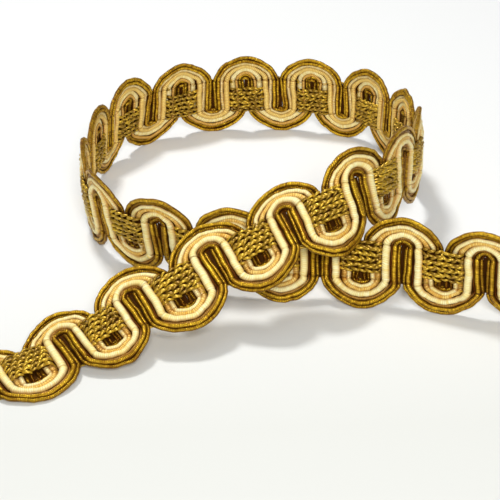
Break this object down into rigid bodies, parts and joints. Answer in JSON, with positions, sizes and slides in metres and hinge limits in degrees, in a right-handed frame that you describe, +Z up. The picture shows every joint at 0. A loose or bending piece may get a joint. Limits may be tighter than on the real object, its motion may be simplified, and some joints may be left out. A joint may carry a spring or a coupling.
{
  "type": "gimp braid trim",
  "caption": "Length of flat gimp braid with meandering gold and cream cords over a chain-knit band, standing on edge in an open loop with one tail climbing over the other.",
  "frame": {"origin": "middle of the bottom of the part's bounding box, on the surface that the braid lies on", "axes": "+Z up, away from the surface; the loop lies towards +Y; the near tail comes down towards -X and -Y; the far tail runs towards +X"},
  "size_m": [0.1234, 0.1188, 0.029],
  "materials": {
    "braid": "silky gold and cream rayon cords with an olive gold knit band"
  },
  "bodies": {
    "root": {"braid": "braid"}
  },
  "joints": []
}
